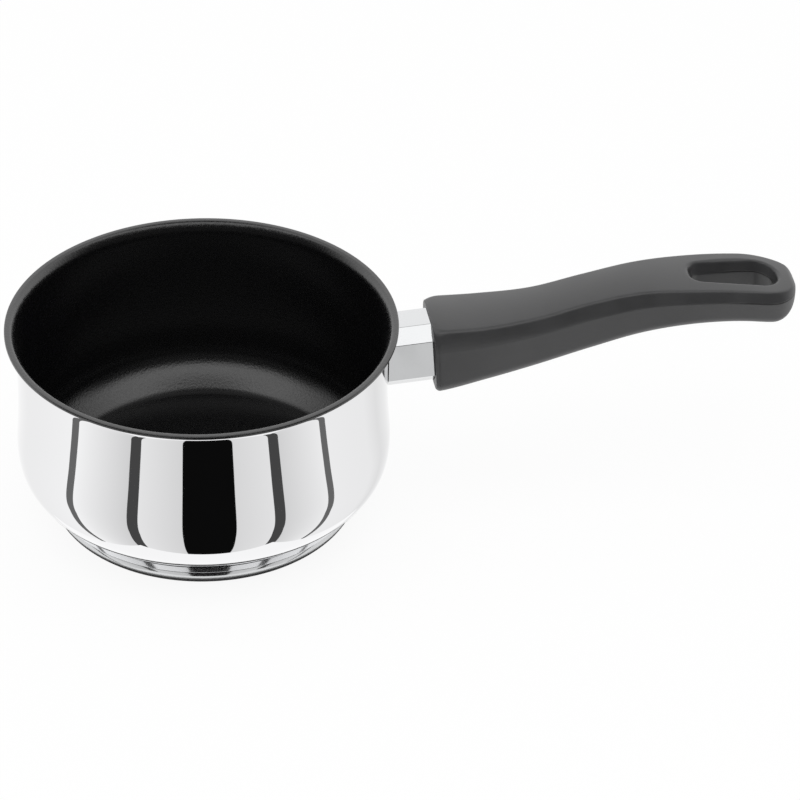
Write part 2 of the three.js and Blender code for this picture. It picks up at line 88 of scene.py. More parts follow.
def linear_colour(code: str) -> Colour:
    """Turns an sRGB hex code into the linear colour that Blender expects.

    Args:
        code: six hex digits after a hash.

    Returns:
        Linear red, green, blue and full alpha.
    """
    shares = [int(code[at : at + 2], 16) / 255 for at in (1, 3, 5)]
    red, green, blue = (
        share / 12.92 if share <= 0.04045 else ((share + 0.055) / 1.055) ** 2.4 for share in shares
    )
    return red, green, blue, 1.0


def grey(level: float) -> Colour:
    """A grey of a linear level."""
    return level, level, level, 1.0


def add_node(
    tree: NodeTree,
    kind: str,
    inputs: dict[str | int, Any] | tuple[Any, ...] = (),
    **settings: Any,
) -> NodeOutputs:
    """Adds one node with its settings and links.

    Args:
        tree: the tree it goes into.
        kind: Blender's name of the node type, without the word ShaderNode.
        inputs: a value or an output socket for each input, by its name or
            number, or else in the node's order.
        settings: properties of the node.

    Returns:
        The node's outputs.
    """
    node = tree.nodes.new("ShaderNode" + kind)
    for name, value in settings.items():
        setattr(node, name, value)
    for key, value in inputs.items() if isinstance(inputs, dict) else enumerate(inputs):
        if isinstance(value, NodeSocket):
            tree.links.new(value, node.inputs[key])
        else:
            node.inputs[key].default_value = value
    return node.outputs


def empty_tree(owner: Material | World) -> NodeTree:
    """Turns on the nodes of a material or a world, and clears them.

    Args:
        owner: the material or the world.

    Returns:
        Its tree.
    """
    owner.use_nodes = True
    owner.node_tree.nodes.clear()
    return owner.node_tree


def radius_and_height(tree: NodeTree, where: NodeSocket) -> NodeSocket:
    """A place that stays the same all round the upright axis.

    Args:
        tree: the tree that its nodes go into.
        where: the place on the piece.

    Returns:
        A vector with the radius in X and the height in Z.
    """
    x, y, z = add_node(tree, "SeparateXYZ", (where,))
    squares = [add_node(tree, "Math", (part, 2.0), operation="POWER")[0] for part in (x, y)]
    both = add_node(tree, "Math", tuple(squares), operation="ADD")[0]
    radius = add_node(tree, "Math", (both,), operation="SQRT")[0]
    return add_node(tree, "CombineXYZ", {0: radius, 2: z})[0]


# Finishes


@dataclass(frozen=True)
class Grain:
    """A noise of a real size in millimetres, with finer octaves on top.

    One that is turned follows the rings that a lathe leaves.
    """

    size: float
    octaves: float = 2.0
    turned: bool = False

    def noise(self, tree: NodeTree, place: NodeSocket) -> NodeSocket:
        """Adds the noise.

        Args:
            tree: the tree that its nodes go into.
            place: the place on the piece, in metres.

        Returns:
            The noise's value.
        """
        place = radius_and_height(tree, place) if self.turned else place
        inputs = {"Vector": place, "Scale": 1 / (self.size * MILLIMETRE), "Detail": self.octaves}
        return add_node(tree, "TexNoise", inputs)[0]


@dataclass(frozen=True)
class Finish:
    """What a piece is made of, how its surface was made, and its slot.

    The roughness spreads between its two values over one grain, the relief
    is another, with its depth in millimetres, and where there are two
    colours, they are mottled over a third.
    """

    name: str
    slot: Slot
    colours: tuple[str, ...]
    roughness: tuple[float, float]
    uneven: Grain
    relief: Grain
    relief_depth: float
    mottle: Grain | None = None
    mottle_spread: tuple[float, float] = (0.35, 0.65)
    metallic: float = 0.0
    gloss: float | None = None

    def surface(self, tree: NodeTree) -> dict[str | int, Any]:
        """Adds the nodes of the surface.

        Args:
            tree: the material's tree.

        Returns:
            What the shader takes in, by the names of its inputs.
        """
        place = add_node(tree, "TexCoord")["Object"]
        grains = dict.fromkeys(grain for grain in (self.uneven, self.relief, self.mottle) if grain)
        noises = {grain: grain.noise(tree, place) for grain in grains}
        relief = {"Height": noises[self.relief], "Distance": self.relief_depth * MILLIMETRE}
        roughness = (noises[self.uneven], *NOISE_SPREAD, *self.roughness)
        colours = [linear_colour(code) for code in self.colours]
        inputs: dict[str | int, Any] = {
            "Base Color": colours[0],
            "Metallic": self.metallic,
            "Roughness": add_node(tree, "MapRange", roughness, **SMOOTH)[0],
            "Normal": add_node(tree, "Bump", relief)[0],
        }
        if self.gloss:
            inputs["IOR"] = self.gloss
        if self.mottle:
            spread = (noises[self.mottle], *self.mottle_spread, 0.0, 1.0)
            share = add_node(tree, "MapRange", spread, **SMOOTH)[0]
            mix = {SHARE: share, FIRST: colours[0], SECOND: colours[1]}
            inputs["Base Color"] = add_node(tree, "Mix", mix, data_type="RGBA")[MIXED]
        return inputs

    def material(self) -> Material:
        """Builds the material.

        Returns:
            The material.
        """
        material = bpy.data.materials.new(self.name)
        tree = empty_tree(material)
        shader = add_node(tree, "BsdfPrincipled", self.surface(tree))
        add_node(tree, "OutputMaterial", (shader[0],))
        return material


@dataclass(frozen=True)
class MirrorSteel(Finish):
    """Drawn stainless sheet, buffed to a mirror.

    The eye gets sharp reflections of the studio that waver very slightly,
    because buffing leaves the sheet a little uneven.
    """

    name: str = "drawn stainless steel, mirror buffed"
    slot: Slot = Slot.STEEL_MIRROR
    colours: tuple[str, ...] = ("#e6e6e7",)
    roughness: tuple[float, float] = (0.008, 0.025)
    uneven: Grain = Grain(14.0, 3.0)
    relief: Grain = Grain(9.0, 0.0)
    relief_depth: float = 0.004
    metallic: float = 1.0


@dataclass(frozen=True)
class TurnedMetal(Finish):
    """Metal that was finished on a lathe.

    The eye gets softened reflections, a little hazy where they are dark,
    and very fine rings that follow the turning and catch the light. The
    feed of such a cut is 0.1 mm, too fine to show, so the rings are drawn
    as coarse as they need.
    """

    metallic: float = 0.96


@dataclass(frozen=True)
class FasteningSteel(Finish):
    """Zinc-plated or pickled steel of a fastening.

    The eye gets a bright, slightly cloudy metal with a fine grain.
    """

    uneven: Grain = Grain(2.2, 4.0)
    relief: Grain = Grain(0.18)
    relief_depth: float = 0.004
    mottle: Grain | None = Grain(2.2, 4.0)
    metallic: float = 1.0


@dataclass(frozen=True)
class NonStickCoating(Finish):
    """Black non-stick coating, sprayed on and baked.

    The eye gets a soft sheen over near black, broken up by the droplets
    of the spray. These are 0.1 to 0.2 mm wide on a real pan, too fine to
    show, so they and the speckle are drawn as coarse as they need.
    """

    name: str = "baked non-stick coating, sprayed"
    slot: Slot = Slot.NON_STICK
    colours: tuple[str, ...] = ("#070708", "#0d0d0e")
    roughness: tuple[float, float] = (0.23, 0.29)
    uneven: Grain = Grain(0.9)
    relief: Grain = Grain(0.9)
    relief_depth: float = 0.06
    mottle: Grain | None = Grain(0.5, 3.0)
    mottle_spread: tuple[float, float] = (0.4, 0.6)
    gloss: float | None = 1.75


@dataclass(frozen=True)
class MouldedPhenolic(Finish):
    """Compression-moulded phenolic resin from a satin-polished mould.

    The eye gets an even satin black with a very fine grain, and a thin
    parting line along each side where the two halves of the mould met. It
    was scraped off along the part that the hand holds and stays at the tip.
    The mould's grain is 0.1 mm, too fine to show, so it is drawn as coarse
    as it needs. The piece's mesh says how many millimetres each point is
    over the line, and how much of the line is left there.
    """

    name: str = "phenolic resin, moulded satin"
    slot: Slot = Slot.PHENOLIC
    colours: tuple[str, ...] = ("#343435", "#383839")
    roughness: tuple[float, float] = (0.38, 0.44)
    uneven: Grain = Grain(11.0, 4.0)
    relief: Grain = Grain(0.7)
    relief_depth: float = 0.03
    mottle: Grain | None = Grain(11.0, 4.0)
    gloss: float | None = 1.6
    line_half_width: float = 0.18
    line_depth: float = 0.14
    line_colour: str = "#0c0c0c"
    over_line: str = "parting"
    line_left: str = "parting_left"

    def surface(self, tree: NodeTree) -> dict[str | int, Any]:
        """Adds the nodes of the surface and of the parting line in it.

        Args:
            tree: the material's tree.

        Returns:
            What the shader takes in, by the names of its inputs.
        """
        plain = super().surface(tree)
        over, left = (
            add_node(tree, "Attribute", attribute_name=name)["Fac"]
            for name in (self.over_line, self.line_left)
        )
        aside = add_node(tree, "Math", (over,), operation="ABSOLUTE")[0]
        edges = (self.line_half_width, 2 * self.line_half_width)
        line = add_node(tree, "MapRange", (aside, *edges, 1.0, 0.0), **SMOOTH)[0]
        line = add_node(tree, "Math", (line, left), operation="MULTIPLY")[0]
        level = add_node(tree, "Math", (1.0, line), operation="SUBTRACT")[0]
        groove = {"Height": level, "Distance": self.line_depth * MILLIMETRE, "Normal": plain["Normal"]}
        mix = {SHARE: line, FIRST: plain["Base Color"], SECOND: linear_colour(self.line_colour)}
        return plain | {
            "Base Color": add_node(tree, "Mix", mix, data_type="RGBA")[MIXED],
            "Normal": add_node(tree, "Bump", groove)[0],
        }


# Meshes


def new_object(name: str, data: Any) -> Object:
    """Puts a new object in the scene.

    Args:
        name: its name.
        data: its mesh, camera or light.

    Returns:
        The object.
    """
    made = bpy.data.objects.new(name, data)
    bpy.context.scene.collection.objects.link(made)
    return made


def finished_mesh(work: bmesh.types.BMesh, name: str) -> Mesh:
    """Turns a mesh that was being built into a finished one.

    Args:
        work: the mesh that was being built, which is used up.
        name: the name of the finished one.

    Returns:
        The finished mesh.
    """
    mesh = bpy.data.meshes.new(name)
    work.to_mesh(mesh)
    work.free()
    return mesh


def add_piece(name: str, mesh: Mesh, finish: Finish, node: str, crease: float = 35.0) -> None:
    """Puts a finished piece in the scene in place of a CAD node.

    It is smooth except over its creases.

    Args:
        name: the piece's name.
        mesh: the mesh, in metres.
        finish: the piece's finish.
        node: name of the CAD node that it stands for.
        crease: the angle in degrees from which an edge stays sharp.
    """
    mesh.name = name
    mesh.shade_smooth()
    mesh.set_sharp_from_angle(angle=math.radians(crease))
    mesh.materials.clear()
    mesh.materials.append(finish.material())
    piece = new_object(name, mesh)
    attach(piece, BODY)
    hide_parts(node)
    LOG.info("%s: %d faces, for %s", name, len(mesh.polygons), node)


def joined_rings(rings: list[Ring], closed: bool) -> Mesh:
    """Joins rings of equal count by quads.

    Args:
        rings: the rings, in millimetres.
        closed: True joins the last ring to the first one. Otherwise a fan
            closes each end, and a ring of one point is a pole.

    Returns:
        The closed mesh, in metres.
    """
    work = bmesh.new()
    rows = [[work.verts.new(p * MILLIMETRE) for p in ring] for ring in rings]
    pairs = list(zip(rows, rows[1:] + rows[:1] if closed else rows[1:]))
    for low, high in pairs:
        count = max(len(low), len(high))
        for i in range(count):
            follow = (i + 1) % count
            if len(low) == 1:
                work.faces.new((low[0], high[follow], high[i]))
            elif len(high) == 1:
                work.faces.new((low[i], low[follow], high[0]))
            else:
                work.faces.new((low[i], low[follow], high[follow], high[i]))
    if not closed:
        for row in (rows[0], rows[-1]):
            if len(row) > 1:
                work.faces.new(row)
    bmesh.ops.recalc_face_normals(work, faces=work.faces)
    return finished_mesh(work, "rings")


def turned_rings(profile: Profile, count: int) -> list[Ring]:
    """Turns a profile about the upright axis.

    Args:
        profile: radius and height of each point, in millimetres.
        count: points in a ring.

    Returns:
        One ring for each point, with a pole where the radius is zero.
    """
    rings = []
    for radius, height in profile:
        if radius < POLE_RADIUS:
            rings.append([Vector((0, 0, height))])
            continue
        turns = [2 * math.pi * i / count for i in range(count)]
        rings.append([Vector((radius * math.cos(t), radius * math.sin(t), height)) for t in turns])
    return rings


def turned(profile: Profile, count: int) -> Mesh:
    """Turns a profile that starts and ends on the axis into a closed mesh."""
    return joined_rings(turned_rings(profile, count), closed=False)


def arc(
    centre: tuple[float, float],
    radii: tuple[float, float],
    sweep: tuple[float, float],
    steps: int,
) -> Profile:
    """Points along a part of an ellipse.

    Args:
        centre: its centre.
        radii: its half-axes.
        sweep: the angles in degrees where it starts and ends.
        steps: the number of chords.

    Returns:
        The points, both ends among them.
    """
    points = []
    for i in range(steps + 1):
        turn = math.radians(sweep[0] + (sweep[1] - sweep[0]) * i / steps)
        points.append((centre[0] + radii[0] * math.cos(turn), centre[1] + radii[1] * math.sin(turn)))
    return points


def bezier(start: Vector, leave: Vector, arrive: Vector, end: Vector, steps: int) -> Profile:
    """Points along a cubic Bezier curve.

    Args:
        start: its first point.
        leave: the handle of the first point.
        arrive: the handle of the last point.
        end: its last point.
        steps: the number of chords.

    Returns:
        The points, both ends among them.
    """
    points = []
    for i in range(steps + 1):
        t = i / steps
        s = 1 - t
        at = start * s**3 + leave * (3 * s * s * t) + arrive * (3 * s * t * t) + end * t**3
        points.append((at.x, at.y))
    return points


def rounded_outline(corners: list[tuple[float, float, float]], steps: int) -> Profile:
    """A closed outline whose corners are rounded, each by its own radius.

    Args:
        corners: x, y and radius of each corner. Without a radius it stays one point.
        steps: chords in each round.

    Returns:
        The outline's points.
    """
    outline: Profile = []
    for i, (x, y, radius) in enumerate(corners):
        at = Vector((x, y))
        if radius <= 0:
            outline.append((x, y))
            continue
        back = (Vector(corners[i - 1][:2]) - at).normalized()
        ahead = (Vector(corners[(i + 1) % len(corners)][:2]) - at).normalized()
        half = math.acos(max(-1.0, min(1.0, back.dot(ahead)))) / 2
        centre = at + (back + ahead).normalized() * (radius / math.sin(half))
        start = at + back * (radius / math.tan(half)) - centre
        end = at + ahead * (radius / math.tan(half)) - centre
        sweep = math.atan2(start.x * end.y - start.y * end.x, start.dot(end))
        for step in range(steps + 1):
            point = Matrix.Rotation(sweep * step / steps, 2) @ start + centre
            outline.append((point.x, point.y))
    return outline


def with_modifier(mesh: Mesh, kind: str, settings: dict[str, Any]) -> Mesh:
    """Runs one modifier over a mesh.

    Args:
        mesh: the mesh, which is used up.
        kind: Blender's name of the modifier type.
        settings: its properties.

    Returns:
        The resulting mesh.
    """
    carrier = new_object("carrier", mesh)
    modifier = carrier.modifiers.new("step", kind)
    for name, value in settings.items():
        setattr(modifier, name, value)
    bpy.context.view_layer.update()
    graph = bpy.context.evaluated_depsgraph_get()
    result = bpy.data.meshes.new_from_object(carrier.evaluated_get(graph))
    bpy.data.objects.remove(carrier)
    bpy.data.meshes.remove(mesh)
    return result


def cut(mesh: Mesh, tool: Mesh) -> Mesh:
    """Cuts one closed mesh out of another.

    Args:
        mesh: what is cut, which is used up.
        tool: what is cut away, which is used up.

    Returns:
        The rest.
    """
    cutter = new_object("cutter", tool)
    settings = {"object": cutter, "operation": "DIFFERENCE", "solver": "EXACT"}
    result = with_modifier(mesh, "BOOLEAN", settings)
    bpy.data.objects.remove(cutter)
    bpy.data.meshes.remove(tool)
    return result


def dress_node(node: Object, finish: Finish) -> None:
    """Gives a CAD node that stays its finish.

    Args:
        node: the CAD node's object.
        finish: its finish.
    """
    node.data.materials.clear()
    node.data.materials.append(finish.material())
    LOG.info("%s: the CAD node stays, dressed", node.name)


# Vessel


@dataclass
class Vessel:
    """The pan's drawn body and the coating inside it and over its lip."""

    rim_radius: float = 74.0
    pan_height: float = 80.7
    wall_radius: float = 69.8
    waist_height: float = 56.2
    waist_sweep: float = 13.0
    belly_radius: float = 70.7
    belly_height: float = 32.3
    belly_sweep: float = 12.1
    belly_upper_sweep: float = 4.8
    foot_angle: float = 36.0
    foot_sweep: float = 10.1
    floor_radius: float = 55.0
    floor_bend: float = 7.0
    floor_height: float = 10.2
    sheet: float = 0.7
    coating: float = 0.3
    skin_gap: float = 0.1
    wall_lean: float = 5.5
    lip_flare_height: float = 5.0
    lip_flare_width: float = 1.1  # 0.3 more than the solid's, for the bright line under the rim
    lip_flare_power: float = 4.0
    lip_bend: float = 0.7
    coating_round: float = 0.5
    facets: int = 240
    bend_steps: int = 10
    belly_steps: tuple[int, int] = (44, 30)
    wall_steps: int = 12
    lip_steps: int = 8
    lip_under_steps: int = 3
    steel: Finish = MirrorSteel()
    coat: Finish = NonStickCoating()

    @property
    def lip_underside(self) -> float:
        """Height of the steel lip's underside."""
        return self.pan_height - self.coating - self.skin_gap - self.sheet

    @property
    def lip_edge(self) -> float:
        """Radius of the steel lip's edge."""
        return self.rim_radius - self.coating - self.skin_gap

    def floor_bend_arc(self, gap: float, sweep: float) -> Profile:
        """The bend at the edge of the floor, or what lies a gap under it.

        Args:
            gap: distance under the bend.
            sweep: angle in degrees that it turns through.

        Returns:
            Radius and height of its points.
        """
        radius = self.floor_bend + gap
        centre = (self.floor_radius, self.floor_height + self.floor_bend)
        return arc(centre, (radius, radius), (-90.0, sweep - 90.0), self.bend_steps)

    def belly(self) -> Profile:
        """The belly, from the bend of the floor up to the waist of the wall.

        Returns:
            Radius and height of its points, without the first one.
        """
        foot = Vector(self.floor_bend_arc(0.0, self.foot_angle)[-1])
        angle = math.radians(self.foot_angle)
        slope = Vector((math.cos(angle), math.sin(angle)))
        widest = Vector((self.belly_radius, self.belly_height))
        waist = Vector((self.wall_radius, self.waist_height))
        up = Vector((0.0, 1.0))
        low = (foot, foot + slope * self.foot_sweep, widest - up * self.belly_sweep, widest)
        high = (widest, widest + up * self.belly_upper_sweep, waist - up * self.waist_sweep, waist)
        low_steps, high_steps = self.belly_steps
        return bezier(*low, low_steps)[1:] + bezier(*high, high_steps)[1:]

    def outside(self) -> Profile:
        """Outside of the body, from the edge of the floor to the lip's bend.

        Returns:
            Radius and height of its points.
        """
        profile = self.floor_bend_arc(0.0, self.foot_angle) + self.belly()
        lean = math.tan(math.radians(self.wall_lean))
        angle = math.atan(lean + self.lip_flare_power * self.lip_flare_width / self.lip_flare_height)
        bend_height = self.lip_underside - self.lip_bend
        wall_top = bend_height + self.lip_bend * math.sin(angle)
        wall = wall_top - self.waist_height
        flare_start = wall_top - self.lip_flare_height
        steps = [i / self.wall_steps for i in range(1, self.wall_steps + 1)]
        heights = [self.waist_height + (flare_start - self.waist_height) * share for share in steps]
        heights += [flare_start + self.lip_flare_height * share for share in steps]
        for height in heights:
            share = (height - self.waist_height) / wall
            last = max(height - flare_start, 0.0) / self.lip_flare_height
            out = wall * lean / 2 * share**2 + self.lip_flare_width * last**self.lip_flare_power
            profile.append((self.wall_radius + out, height))
        centre = (profile[-1][0] + self.lip_bend * math.cos(angle), bend_height)
        radii, sweep = (self.lip_bend, self.lip_bend), (180.0 - math.degrees(angle), 90.0)
        return profile + arc(centre, radii, sweep, self.bend_steps)[1:]

    def moved_in(self, distance: float) -> Profile:
        """The outside moved inwards, square to itself.

        Args:
            distance: how far.

        Returns:
            Radius and height of its points.
        """
        points = [Vector(p) for p in self.outside()]
        moved = []
        for i, point in enumerate(points):
            along = (points[min(i + 1, len(points) - 1)] - points[max(i - 1, 0)]).normalized()
            if i in (0, len(points) - 1):
                along = Vector((1.0, 0.0))
            moved.append((point.x - along.y * distance, point.y + along.x * distance))
        return moved

    def radius_at(self, height: float) -> float:
        """Outside radius at a height, up to the lip's bend.

        Args:
            height: above the table.

        Returns:
            The radius.
        """
        points = self.outside()
        for (r0, z0), (r1, z1) in zip(points, points[1:]):
            if z0 <= height <= z1:
                return r0 + (r1 - r0) * (height - z0) / max(z1 - z0, LEAST_RISE)
        return self.wall_radius

    def build(self) -> None:
        """Builds the body and its coating."""
        low, high = self.floor_height, self.floor_height + self.sheet
        round_edge = self.sheet / 2
        centre = (self.lip_edge - round_edge, self.lip_underside + round_edge)
        lip = arc(centre, (round_edge, round_edge), (-90.0, 90.0), self.lip_steps)
        profile = [(0.0, low), *self.outside(), *lip, *self.moved_in(self.sheet)[::-1], (0.0, high)]
        add_piece("pan_body", turned(profile, self.facets), self.steel, "pan_shell")

        steel_side = self.sheet + self.skin_gap
        low = self.floor_height + steel_side
        edge_inside = self.lip_edge + self.skin_gap
        soft, top_round = self.coating / 2, self.coating_round
        outer = self.rim_radius
        centre = (outer - top_round, self.pan_height - top_round)
        lip = [
            (edge_inside, self.pan_height - self.coating),
            (edge_inside, self.lip_underside),
            *arc((outer - soft, self.lip_underside), (soft, soft), (-90.0, 0.0), self.lip_under_steps),
            *arc(centre, (top_round, top_round), (0.0, 90.0), self.lip_steps),
        ]
        food_side = self.moved_in(steel_side + self.coating)[::-1]
        profile = [(0.0, low), *self.moved_in(steel_side), *lip, *food_side, (0.0, low + self.coating)]
        add_piece("pan_coating", turned(profile, self.facets), self.coat, "nonstick_lining")


@dataclass
class Base:
    """The aluminium spreader disc and the steel cap pressed over it."""

    vessel: Vessel
    seat_gap: float = 0.3
    cap_sheet: float = 0.6
    cap_radius: float = 58.4
    cap_height: float = 8.4
    cap_flat_radius: float = 49.0
    band_radius: float = 59.0
    edge_round: float = 0.25
    edge_steps: int = 4
    hollow_steps: int = 12
    corner_steps: int = 18
    facets: int = 240
    disc_finish: Finish = TurnedMetal(
        name="aluminium, turned bright",
        slot=Slot.ALUMINIUM,
        colours=("#dcdddf",),
        roughness=(0.07, 0.13),
        uneven=Grain(0.25, 3.0, turned=True),
        relief=Grain(0.25, 3.0, turned=True),
        relief_depth=0.0003,
    )
    cap_finish: Finish = TurnedMetal(
        name="magnetic stainless steel, pressed and polished",
        slot=Slot.STEEL_BASE,
        colours=("#c9cacb",),
        roughness=(0.06, 0.12),
        uneven=Grain(0.3, 3.0, turned=True),
        relief=Grain(0.3, 3.0, turned=True),
        relief_depth=0.0004,
    )

    def build(self) -> None:
        """Builds the disc and the cap."""
        inside_cap = self.cap_radius - self.cap_sheet - self.seat_gap
        flat = self.cap_flat_radius - self.seat_gap
        corner_top = self.cap_height - self.cap_sheet
        band_foot = self.cap_height + self.seat_gap
        radii = (inside_cap - flat, corner_top - self.cap_sheet)
        corner = arc((flat, corner_top), radii, (-90.0, 0.0), self.hollow_steps)
        lean = (self.band_radius - self.vessel.floor_radius) / (self.vessel.floor_bend + self.seat_gap)
        under = self.vessel.floor_bend_arc(self.seat_gap, math.degrees(math.asin(lean)))
        soft = self.edge_round
        profile = [
            (0.0, self.cap_sheet),
            *corner,
            (inside_cap, band_foot),
            (self.band_radius - soft, band_foot),
            *arc((self.band_radius - soft, band_foot + soft), (soft, soft), (-90.0, 0.0), self.edge_steps),
            *under[::-1],
            (self.vessel.floor_radius, self.vessel.floor_height),
            (0.0, self.vessel.floor_height),
        ]
        add_piece("heat_spreader", turned(profile, self.facets), self.disc_finish, "spreader_disc")

        inside = self.cap_radius - self.cap_sheet
        centre = (self.cap_flat_radius, corner_top)
        outside, within = self.cap_radius - centre[0], inside - centre[0]
        outer = arc(centre, (outside, corner_top), (-90.0, 0.0), self.corner_steps)
        inner = arc(centre, (within, corner_top - self.cap_sheet), (0.0, -90.0), self.corner_steps)
        centre = (self.cap_radius - soft, self.cap_height - soft)
        lip = [*arc(centre, (soft, soft), (0.0, 90.0), self.edge_steps), (inside, self.cap_height)]
        profile = [(0.0, 0.0), *outer, *lip, *inner, (0.0, self.cap_sheet)]
        add_piece("cap_under_base", turned(profile, self.facets), self.cap_finish, "base_cap")


# Handle


@dataclass
class HandleLine:
    """The rising axis that the guard, the boss and the screw share."""

    tilt: float = 2.5
    wall_radius: float = 69.8
    root_height: float = 61.9
    screw_lift: float = 6.5

    def matrix(self, lift: float = 0.0) -> Matrix:
        """Turns places along the axis into places in the row frame.

        Args:
            lift: distance above the guard's centre.

        Returns:
            The matrix, in millimetres.
        """
        place = Matrix.Translation((self.wall_radius, 0, self.root_height))
        turn = Matrix.Rotation(-math.radians(self.tilt), 4, "Y")
        return place @ turn @ Matrix.Translation((0, 0, lift))


@dataclass
class FlameGuard:
    """Eight-sided folded steel sleeve between the wall and the grip."""

    line: HandleLine
    vessel: Vessel
    width: float = 21.0
    height: float = 25.5
    chamfer: float = 5.0
    sheet: float = 0.8
    reach: float = 28.0
    fold_radius: float = 0.35
    end_radius: float = 1.0
    hole_radius: float = 2.3
    wall_gap: float = 0.3
    fold_steps: int = 6
    end_steps: int = 6
    least_radius: float = 0.15
    root_search: tuple[float, float] = (-20.0, 5.0)
    search_steps: int = 40
    crease: float = 30.0
    shares: tuple[float, ...] = (0.0, 0.02, 0.2, 0.4, 0.6, 0.8, 0.99, 1.0)
    steel: Finish = MirrorSteel(
        name="folded stainless steel, satin buffed", colours=("#cfd0d1",), roughness=(0.06, 0.12)
    )

    def outline(self, offset: float) -> Profile:
        """The sleeve's section, moved outwards.

        Args:
            offset: distance outwards, or inwards where it is negative.

        Returns:
            Distance across and height of its points.
        """
        half_width = self.width / 2 + offset
        half_height = self.height / 2 + offset
        chamfer = self.chamfer + offset * (2 - math.sqrt(2))
        radius = max(self.fold_radius + offset, self.least_radius)
        corners = [
            (half_width, half_height - chamfer),
            (half_width - chamfer, half_height),
            (chamfer - half_width, half_height),
            (-half_width, half_height - chamfer),
            (-half_width, chamfer - half_height),
            (chamfer - half_width, -half_height),
            (half_width - chamfer, -half_height),
            (half_width, chamfer - half_height),
        ]
        return rounded_outline([(x, y, radius) for x, y in corners], self.fold_steps)

    def root_at(self, across: float, up: float) -> float:
        """Where the sleeve meets the pan's wall.

        Args:
            across: distance to the side of the axis.
            up: distance above it.

        Returns:
            Distance along the axis.
        """
        matrix = self.line.matrix()
        low, high = self.root_search
        for _ in range(self.search_steps):
            middle = (low + high) / 2
            at = matrix @ Vector((middle, across, up))
            if math.hypot(at.x, at.y) > self.vessel.radius_at(at.z) + self.wall_gap:
                high = middle
            else:
                low = middle
        return high

    def build(self) -> None:
        """Builds the sleeve with its end plate."""
        matrix, lift = self.line.matrix(), self.line.screw_lift
        outer, inner = self.outline(0.0), self.outline(-self.sheet)
        roots = [self.root_at(y, z) for y, z in outer]
        end, inside_end = self.reach - self.end_radius, self.reach - self.sheet
        loops = [(outer, [root + (end - root) * share for root in roots]) for share in self.shares]
        for step in range(1, self.end_steps + 1):
            turn = math.pi / 2 * step / self.end_steps
            inset = self.end_radius * (1 - math.cos(turn))
            loops.append((self.outline(-inset), [end + self.end_radius * math.sin(turn)] * len(outer)))
        hole = []
        for y, z in outer:
            turn = math.atan2(z - lift, y)
            hole.append((self.hole_radius * math.cos(turn), lift + self.hole_radius * math.sin(turn)))
        for outline, place in ((hole, self.reach), (hole, inside_end), (inner, inside_end)):
            loops.append((outline, [place] * len(outline)))
        loops.append((inner, [self.root_at(y, z) for y, z in inner]))
        rings = [[matrix @ Vector((x, y, z)) for x, (y, z) in zip(places, loop)] for loop, places in loops]
        add_piece("guard_sleeve", joined_rings(rings, closed=True), self.steel, "flame_guard", self.crease)


